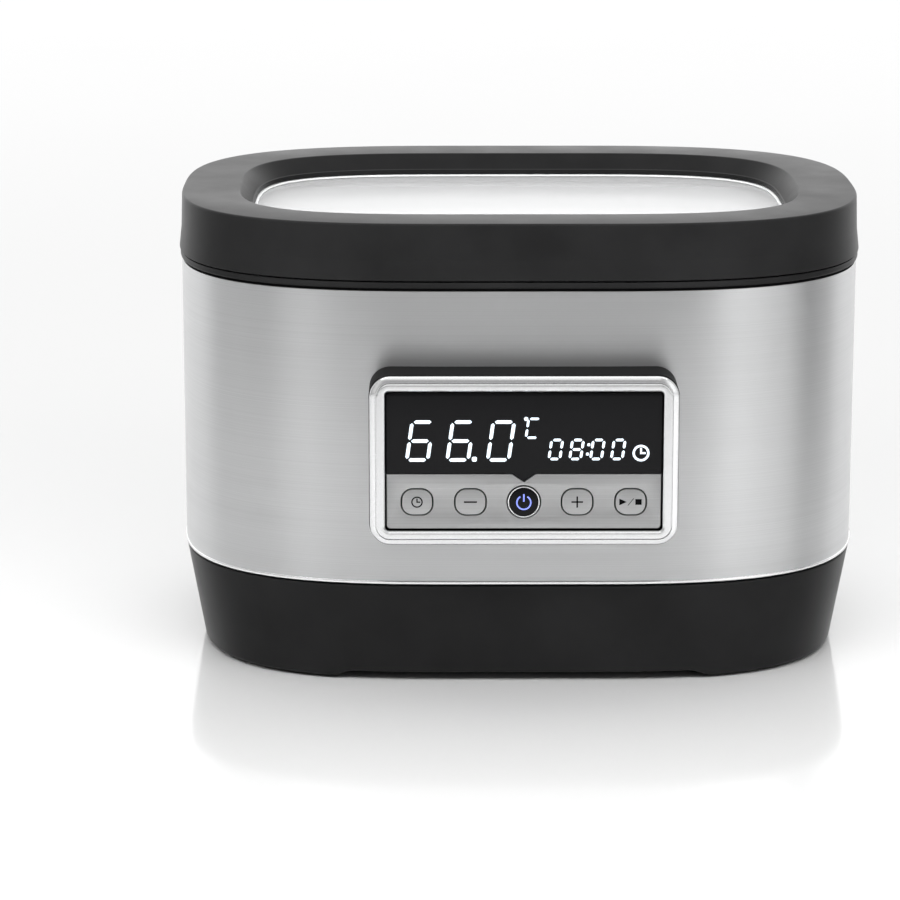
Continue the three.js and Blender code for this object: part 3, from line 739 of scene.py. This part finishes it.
def make_base():
    """The tapered housing with a cut-out for the mains inlet, and the raised pad round that."""
    top = BASE_TOP - 0.6
    base = band("base_shell", rounded([
        (0.9, top, 0.6), (-8.7, BASE_BOTTOM + 1, 3), (-11.4, BASE_BOTTOM, 1), (-14.6, BASE_BOTTOM, 0.4),
        (-11.2, 7.5, 1), (-2.2, 52.8, 0), (-25, 52.8, 0), (-25, top, 0)], 7), bend=arch, sharp=50)
    carve(base, rounded_rect(0, INLET_Z, 33, 25, 2, 4), 150, INLET_WELL_BACK)
    dress(base, BLACK)
    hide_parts("base_housing")
    holes = [circle(side * INLET_PITCH / 2, INLET_Z, 1.9, 24) for side in (-1, 1)]
    rim = rounded_rect(0, INLET_Z + 2, 60, 38, 5)
    mouth = rounded_rect(0, INLET_Z, 32.4, 24.4, 2)
    pad = slab("inlet_pad", [rim, mouth, *holes], 130, PAD_FACE, 0.9)
    dress(pad, BLACK)


def make_cover():
    """The bottom plate with its vent slots and holes, its screws and the rubber feet."""
    outlines = [plan_ring(COVER_OFFSET)]
    for side in (-1, 1):
        for i in range(-3, 4):
            outlines.append(rounded_rect(side * SLOT_X, i * SLOT_PITCH, SLOT_LENGTH, SLOT_WIDTH, 1.4, 5))
    for i in range(1, 5):
        outlines.append(circle(*node_centre(f"foot_{i}"), FOOT_HOLE, 32))
        outlines.append(circle(*node_centre(f"base_screw_{i}"), SCREW_HOLE, 24))
    low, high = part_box("base_cover")
    cover = slab("bottom_plate", outlines, low.z / MM, high.z / MM, 0.5, "up")
    dress(cover, BLACK)
    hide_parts("base_cover")
    for i in range(1, 5):
        screw(f"base_screw_{i}", 3.4, 1.7, 1.4)
        foot = turned(f"rubber_foot_{i}", [
            (0, 0.7), (4.6, 0.7), (5.4, 0.15), (6.0, 0), (8.8, 0), (9.6, 0.3), (10.2, 1.0), (10.4, 1.6),
            (9.9, 3.9), (9.4, 4.4), (2.6, 4.4), (2.6, 8), (1.4, 9), (0, 9)], (*node_centre(f"foot_{i}"), 0))
        dress(foot, RUBBER)
        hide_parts(f"foot_{i}")


def socket_outline(w=24.4, h=16.4, bevel=5.0):
    """A rounded rectangle with its two upper corners cut off."""
    low, high = INLET_Z - h / 2, INLET_Z + h / 2
    return rounded([(-w / 2, low, 1), (w / 2, low, 1), (w / 2, high - bevel, 1), (w / 2 - bevel, high, 1),
                    (-w / 2 + bevel, high, 1), (-w / 2, high - bevel, 1)], 4)


def make_inlet():
    holes = [circle(side * INLET_PITCH / 2, INLET_Z, 2, 24) for side in (-1, 1)]
    flange = slab("inlet_flange", [rounded_rect(0, INLET_Z, 50, 26, 6), socket_outline(), *holes],
                  PAD_FACE + 0.1, INLET_FACE, 0.35)
    dress(flange, INLET_BLACK)
    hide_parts("mains_inlet")
    walls = slab("inlet_well", [rounded_rect(0, INLET_Z, 31.6, 23.6, 1.6), socket_outline(24.2, 16.2)],
                 INLET_WELL_BACK, PAD_FACE + 0.4, 0.2)
    dress(walls, INLET_BLACK)
    floor = slab("inlet_floor", [rounded_rect(0, INLET_Z, 30, 22, 1.6)], INLET_WELL_BACK + 0.5,
                 INLET_WELL_BACK + 4, 0.2)
    dress(floor, INLET_BLACK)
    for name in ("live", "earth", "neutral"):
        low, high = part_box(f"mains_pin_{name}")
        x = (low.x + high.x) / 2 / MM
        z = (low.z + high.z) / 2 / MM
        pin = slab(f"pin_{name}", [rounded_rect(x, z, 2, 4, 0.5, 4)],
                   low.y / MM - BODY_Y, high.y / MM - BODY_Y, 0.45)
        dress(pin, BRASS)
        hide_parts(f"mains_pin_{name}")
    for i in (1, 2):
        screw(f"inlet_screw_{i}", 3.4, 1.6, 1.5, "back")


make_base()
make_cover()
make_inlet()


# ---------------------------------------------------------------- control panel
def rail_loft(name, outer, inner, profile, body="root", sharp=35):
    """A frame between two rails of (x, z) points. The profile lists (share from outer to inner, y)."""
    outer, inner = np.array(outer), np.array(inner)
    rings = []
    for share, y in profile:
        rail = outer + (inner - outer) * share
        rings.append(np.column_stack([rail[:, 0], np.full(len(rail), float(y)), rail[:, 1]]))
    points, faces = skin(rings)
    return mesh_object(name, points, faces, sharp, body)


HOUSING_EDGE = 0.35
HOUSING_WALL = 2.5


def make_housing():
    """A frame whose rear edge follows the curved wrap, where y is None below."""
    outer, edge, inner = [
        np.array(rounded_rect(0, PANEL_Z, BEZEL_W + 2 * out, BEZEL_H + 2 * out, BEZEL_R + out, 12))
        for out in (HOUSING_OUT, HOUSING_OUT - HOUSING_EDGE, HOUSING_OUT - HOUSING_WALL)]
    rings = []
    for rail, y in ((outer, None), (outer, HOUSING_FRONT + HOUSING_EDGE), (edge, HOUSING_FRONT),
                    (inner, HOUSING_FRONT), (inner, None)):
        depth = wall_y(rail[:, 0], SHELL_OUT + 0.1) if y is None else np.full(len(rail), y)
        rings.append(np.column_stack([rail[:, 0], depth, rail[:, 1]]))
    points, faces = skin(rings)
    housing = mesh_object("panel_housing", points, faces)
    dress(housing, PANEL_BLACK)
    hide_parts("control_housing")


def make_bezel():
    """A raised inner ring and, past a fine groove, a shoulder that slopes back to the housing."""
    steps = 14
    outer = rounded_rect(0, PANEL_Z, BEZEL_W, BEZEL_H, BEZEL_R, steps)
    inner = rounded_rect(0, PANEL_Z, OPENING_W, OPENING_H, OPENING_R, steps)
    front = BEZEL_FRONT
    back = HOUSING_FRONT - 0.35
    rim = (BEZEL_W - OPENING_W) / 2
    profile = rounded([
        (0, back, 0), (0, front + 2.5, 0.4), (0.5, front + 1.8, 0.5), (3.0, front + 0.6, 0.25),
        (3.15, front + 1.9, 0), (3.55, front + 1.9, 0), (3.65, front + 0.35, 0.25), (4.2, front, 0.4),
        (6.8, front, 0.5), (rim, front + 1.0, 0.4), (rim, LENS_BACK, 0), (rim - 0.8, back, 0)], 3)
    bezel = rail_loft("panel_bezel", outer, inner, [(across / rim, y) for across, y in profile], sharp=30)
    dress(bezel, CHROME)
    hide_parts("control_bezel")
    ledge_outlines = [rounded_rect(0, PANEL_Z, OPENING_W + 7, OPENING_H + 7, 5),
                      rounded_rect(0, PANEL_Z, OPENING_W - 5, OPENING_H - 5, 2)]
    ledge = slab("panel_ledge", ledge_outlines, LENS_BACK + 3.2, LENS_BACK + 0.35, 0.2)
    dress(ledge, PANEL_BLACK)


LENS_CORNER = 2.0


def opening_corner(cx, cz, start, steps=6):
    """A quarter circle round a centre, anticlockwise from start degrees."""
    angles = [math.radians(start + 90 * k / steps) for k in range(steps + 1)]
    return [(cx + LENS_CORNER * math.cos(a), cz + LENS_CORNER * math.sin(a)) for a in angles]


def make_lens():
    w = OPENING_W / 2 - FASCIA_CLEARANCE
    top = PANEL_Z + OPENING_H / 2 - FASCIA_CLEARANCE
    outline = [(-w, SPLIT_Z), (-CHEVRON_W / 2, SPLIT_Z), (0, SPLIT_Z - CHEVRON_H),
               (CHEVRON_W / 2, SPLIT_Z), (w, SPLIT_Z)]
    outline += opening_corner(w - LENS_CORNER, top - LENS_CORNER, 0)
    outline += opening_corner(-w + LENS_CORNER, top - LENS_CORNER, 90)
    lens = slab("lens", [outline], LENS_BACK, LENS_FRONT, 0.3)
    dress(lens, DISPLAY)
    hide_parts("display_lens")


BUTTON_W = 15.6
BUTTON_H = 13.4
BUTTON_R = 5.6
BUTTON_GAP = 0.6
BUTTON_FRONT = LENS_FRONT - 0.15
POWER_R = 8.3
POWER_CAP_R = 7.6
POWER_RING = (8.35, 7.65)
STEM_BACK = -156.2


def button_outline(name, grow=0.0):
    if name == "button_power":
        return circle(BUTTON_X[name], BUTTON_Z, POWER_R + grow, 64)
    return rounded_rect(BUTTON_X[name], BUTTON_Z, BUTTON_W + 2 * grow, BUTTON_H + 2 * grow,
                        BUTTON_R + grow, 8)


def make_fascia():
    w = OPENING_W / 2 - FASCIA_CLEARANCE
    bottom = PANEL_Z - OPENING_H / 2 + FASCIA_CLEARANCE
    top = SPLIT_Z - 0.35
    half = CHEVRON_W / 2 + 0.2
    outline = opening_corner(-w + LENS_CORNER, bottom + LENS_CORNER, 180)
    outline += opening_corner(w - LENS_CORNER, bottom + LENS_CORNER, 270)
    outline += [(w, top), (half, top), (0, top - CHEVRON_H - 0.1), (-half, top), (-w, top)]
    holes = [button_outline(name, BUTTON_GAP) for name in BUTTONS]
    fascia = slab("fascia_plate", [outline, *holes], LENS_BACK, LENS_FRONT, 0.5)
    dress(fascia, FASCIA)
    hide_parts("button_fascia")


def make_buttons():
    for name in BUTTONS:
        x = BUTTON_X[name]
        if name == "button_power":
            cap_outline = circle(x, BUTTON_Z, POWER_CAP_R, 64)
            cap = slab("power_cap", [cap_outline], LENS_BACK, BUTTON_FRONT, 0.4, body=name)
            dress(cap, DISPLAY)
            ring_outlines = [circle(x, BUTTON_Z, r, 64) for r in POWER_RING]
            ring = slab("power_ring", ring_outlines, LENS_BACK, BUTTON_FRONT, 0.15, body=name)
            dress(ring, CHROME)
        else:
            cap = slab(name.replace("button", "cap"), [button_outline(name)], LENS_BACK, BUTTON_FRONT,
                       0.4, body=name)
            dress(cap, FASCIA)
        stem = slab(name.replace("button", "stem"), [rounded_rect(x, BUTTON_Z, 5, 5, 0.8, 3)],
                    STEM_BACK, LENS_BACK + 0.1, 0.2, body=name)
        dress(stem, GREY)
        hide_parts(name)


def symbol(name, outlines, body, look, front=BUTTON_FRONT):
    """A thin printed or lit mark, sunk into the surface at front."""
    piece = slab(name, outlines, front + 0.1, front - 0.06, 0.03, body=body)
    dress(piece, look)


def bar(cx, cz, w, h):
    left, right, low, high = cx - w / 2, cx + w / 2, cz - h / 2, cz + h / 2
    return [(left, low), (right, low), (right, high), (left, high)]


def ring_gap(cx, cz, r, thick, gap_degrees, steps=40):
    """An open ring with its gap at the top."""
    start = 90 + gap_degrees / 2
    sweep = 360 - gap_degrees
    angles = [math.radians(start + sweep * k / steps) for k in range(steps + 1)]
    outer = [(cx + r * math.cos(a), cz + r * math.sin(a)) for a in angles]
    r -= thick
    return outer + [(cx + r * math.cos(a), cz + r * math.sin(a)) for a in reversed(angles)]


def clock(cx, cz, outer, inner, hand):
    """A ring with two hands, at three o'clock."""
    half = hand / 2
    up = inner * 0.85
    along = inner * 0.75
    hands = [(cx - half, cz + up), (cx - half, cz - half), (cx + along, cz - half), (cx + along, cz + half),
             (cx + half, cz + half), (cx + half, cz + up)]
    return [circle(cx, cz, outer), circle(cx, cz, inner), hands]


def cross(cx, cz, reach, half):
    """A plus sign: reach is an arm's length from the centre, half is half an arm's width."""
    quarter = [(-reach, -half), (-half, -half), (-half, -reach)]
    points = []
    for sx, sz in ((1, 1), (-1, 1), (-1, -1), (1, -1)):
        corner = quarter if sx == sz else list(reversed(quarter))
        points += [(cx + sx * u, cz + sz * v) for u, v in corner]
    return points


def make_symbols():
    z = BUTTON_Z
    minus = bar(BUTTON_X["button_minus"], z, 6.8, 0.8)
    symbol("mark_minus", [minus], "button_minus", PRINT)
    plus = cross(BUTTON_X["button_plus"], z, 3, 0.4)
    symbol("mark_plus", [plus], "button_plus", PRINT)
    cx = BUTTON_X["button_start_stop"]
    play = [(cx - 5.9, z - 1.8), (cx - 2.0, z), (cx - 5.9, z + 1.8)]
    slash = [(cx - 1.6, z - 1.9), (cx - 1.2, z - 1.9), (cx + 1.8, z + 1.9), (cx + 1.4, z + 1.9)]
    stop = bar(cx + 4.1, z, 3.3, 3.1)
    symbol("mark_start_stop", [play, slash, stop], "button_start_stop", PRINT)
    set_clock = clock(BUTTON_X["button_set"], z, 3.0, 2.3, 0.65)
    symbol("mark_set", set_clock, "button_set", PRINT)
    cx = BUTTON_X["button_power"]
    power = [ring_gap(cx, z - 0.3, 4.0, 0.75, 60), bar(cx, z + 2.2, 0.75, 4.0)]
    symbol("mark_power", power, "button_power", SYMBOL)


# The strokes of each character: t top, m middle, b bottom, u and l upper and lower left,
# j and r upper and lower right.
SEGMENTS = {"0": "tuljrb", "6": "tulmrb", "8": "tulmjrb", "C": "tulb"}
SLANT = math.tan(math.radians(8))


def digit(char, left, bottom, w, h, thick):
    """Seven-segment strokes as hexagons, leaning to the right. left is the foot of its left side."""
    gap = thick * 0.16
    half = thick / 2
    x0, x1 = half, w - half
    z0, zm, z1 = half, h / 2, h - half

    def lean(points):
        return [(left + u + v * SLANT, bottom + v) for u, v in points]

    def level(z):
        a = x0 + half * 0.6 + gap
        b = x1 - half * 0.6 - gap
        return lean([(a, z), (a + half, z - half), (b - half, z - half), (b, z), (b - half, z + half),
                     (a + half, z + half)])

    def upright(x, low, high):
        a = low + half * 0.3 + gap
        b = high - half * 0.3 - gap
        return lean([(x, a), (x + half, a + half), (x + half, b - half), (x, b), (x - half, b - half),
                     (x - half, a + half)])

    strokes = {"t": level(z1), "m": level(zm), "b": level(z0),
               "u": upright(x0, zm, z1), "l": upright(x0, z0, zm),
               "j": upright(x1, zm, z1), "r": upright(x1, z0, zm)}
    return [strokes[s] for s in SEGMENTS[char]]


# Rows of digits: the first one's left foot, the step from one to the next, the foot's height, and
# a digit's width, height and stroke.
TEMPERATURE = (-61.9, 21.0, 129.2, 12.7, 22.0, 1.85)
TIME = (12.1, 10.8, 129.9, 7.1, 11.5, 1.4)
POINT_AT = (-25.8, 130.5)
UNIT_AT = (-0.2, 141.3)
COLON_X = 32.4
COLON_FOOT = 129.6
COLON_Z = (133.2, 138.2)
CLOCK_AT = (60.7, 133.7)


def digit_row(text, row):
    left, pitch, bottom, w, h, stroke = row
    outlines = []
    for i, char in enumerate(text):
        outlines += digit(char, left + i * pitch, bottom, w, h, stroke)
    return outlines


def lit_mark(name, outlines):
    symbol(name, outlines, "root", DIGITS, LENS_FRONT)


def make_display():
    point = rounded_rect(*POINT_AT, 2.6, 2.6, 0.8, 3)
    lit_mark("digits_temperature", digit_row("660", TEMPERATURE) + [point])
    left, low = UNIT_AT
    degree = circle(left + 1.2, low + 10.6, 1.1, 20)
    lit_mark("unit_sign", [degree] + digit("C", left + 0.4, low, 7.4, 11.3, 1.3))
    colon = [rounded_rect(COLON_X + (z - COLON_FOOT) * SLANT, z, 1.5, 1.5, 0.4, 3) for z in COLON_Z]
    lit_mark("digits_time", digit_row("0800", TIME) + colon)
    lit_mark("mark_clock", clock(*CLOCK_AT, 4.4, 3.2, 1.0))


make_housing()
make_bezel()
make_lens()
make_fascia()
make_buttons()
make_symbols()
make_display()


# ---------------------------------------------------------------- finishes of the CAD nodes that stay
FINISH = {
    "black_plastic": BLACK, "inlet_plastic": INLET_BLACK, "window_glass": GLASS, "black_rubber": RUBBER,
    "silicone": SILICONE, "screw_steel": SCREW, "brushed_steel": STEEL, "pot_steel": POT_STEEL,
    "insulation_felt": FELT, "cast_aluminium": ALUMINIUM, "brass": BRASS, "circuit_board": BOARD,
    "relay_plastic": DISPLAY, "grey_plastic": GREY, "bezel_chrome": CHROME, "display_black": DISPLAY,
    "fascia_metal": FASCIA,
}
for row in frame["record"]["subparts"]:
    node = frame["nodes"][row["node"]]
    if not node.hide_render:
        dress(node, FINISH[row["material_slot"]])


# ---------------------------------------------------------------- floor and light
FLOOR_REACH = 16.0


def make_floor():
    mesh = bpy.data.meshes.new("floor")
    corners = [(x, y, 0) for x, y in bar(0, 0, 2 * FLOOR_REACH, 2 * FLOOR_REACH)]
    mesh.from_pydata(corners, [], [(0, 1, 2, 3)])
    floor = bpy.data.objects.new("floor", mesh)
    bpy.context.collection.objects.link(floor)
    look = material("floor", (0.47, 0.47, 0.47), 0.10, IOR=2.3)
    nodes = Nodes(look)
    haze = nodes.noise(nodes.position, 3, 2)
    nodes.link(nodes.span(haze, 0.09, 0.12), nodes.shader.inputs["Roughness"])
    mesh.materials.append(look)


def softbox(name, at, target, size, power, glossy=True):
    """An area light, in metres and watts. With glossy off, reflections don't show it."""
    data = bpy.data.lights.new(name, "AREA")
    data.shape = "RECTANGLE"
    data.size, data.size_y = size
    data.energy = power
    lamp = bpy.data.objects.new(name, data)
    lamp.visible_camera = False
    lamp.visible_glossy = glossy
    lamp.location = at
    lamp.rotation_euler = (Vector(target) - Vector(at)).to_track_quat("-Z", "Y").to_euler()
    bpy.context.collection.objects.link(lamp)


# The room's brightness by direction: degrees to the right of the appliance's front, and strength.
ROOM = [(-180, 1.33), (-130, 1.36), (-98, 0.62), (-60, 0.4), (-38, 0.75), (-14, 0.32), (18, 0.35),
        (38, 1.3), (64, 0.9), (90, 0.2), (104, 0.5), (130, 1.36), (180, 1.33)]
CEILING = 0.7
# The walls fade into the ceiling between these heights of a direction's Z.
CEILING_FADE = (0.3, 0.95)


def grey(level):
    return (level, level, level, 1)


def make_room():
    """Bright and dark walls for the metal to reflect, and an even ceiling."""
    world = bpy.data.worlds.new("studio")
    world.use_nodes = True
    nodes = world.node_tree.nodes
    link = world.node_tree.links.new
    direction = nodes.new("ShaderNodeTexCoord")
    split = nodes.new("ShaderNodeSeparateXYZ")
    link(direction.outputs["Generated"], split.inputs["Vector"])
    front = nodes.new("ShaderNodeMath")
    front.operation = "MULTIPLY"
    front.inputs[1].default_value = -1
    link(split.outputs["Y"], front.inputs[0])
    turn = nodes.new("ShaderNodeMath")
    turn.operation = "ARCTAN2"
    link(split.outputs["X"], turn.inputs[0])
    link(front.outputs[0], turn.inputs[1])
    share = nodes.new("ShaderNodeMapRange")
    share.inputs["From Min"].default_value = -math.pi
    share.inputs["From Max"].default_value = math.pi
    link(turn.outputs[0], share.inputs["Value"])
    walls = nodes.new("ShaderNodeValToRGB")
    walls.color_ramp.interpolation = "EASE"
    peak = max(level for _, level in ROOM)
    stops = walls.color_ramp.elements
    while len(stops) < len(ROOM):
        stops.new(0.5)
    for stop, (degrees, level) in zip(stops, ROOM):
        stop.position = (degrees + 180) / 360
        stop.color = grey(level / peak)
    link(share.outputs["Result"], walls.inputs["Fac"])
    height = nodes.new("ShaderNodeMapRange")
    height.inputs["From Min"].default_value = CEILING_FADE[0]
    height.inputs["From Max"].default_value = CEILING_FADE[1]
    link(split.outputs["Z"], height.inputs["Value"])
    blend = nodes.new("ShaderNodeMix")
    blend.data_type = "RGBA"
    link(height.outputs["Result"], blend.inputs[0])
    link(walls.outputs["Color"], blend.inputs[6])
    blend.inputs[7].default_value = grey(CEILING / peak)
    background = nodes["Background"]
    background.inputs["Strength"].default_value = peak
    link(blend.outputs[2], background.inputs["Color"])
    bpy.context.scene.world = world


def make_light():
    make_room()
    softbox("overhead", (0, 2.0, 4.5), (0, 1.6, 0), (6.0, 4.5), 150)
    softbox("key", (-0.7, -2.2, 3.4), (0, 0, 0.1), (3.5, 2.5), 15)
    softbox("front_floor", (0, -0.6, 0.62), (0, -0.48, 0), (2.4, 0.4), 21, glossy=False)


make_floor()
make_light()
bpy.context.scene.view_settings.view_transform = "Standard"
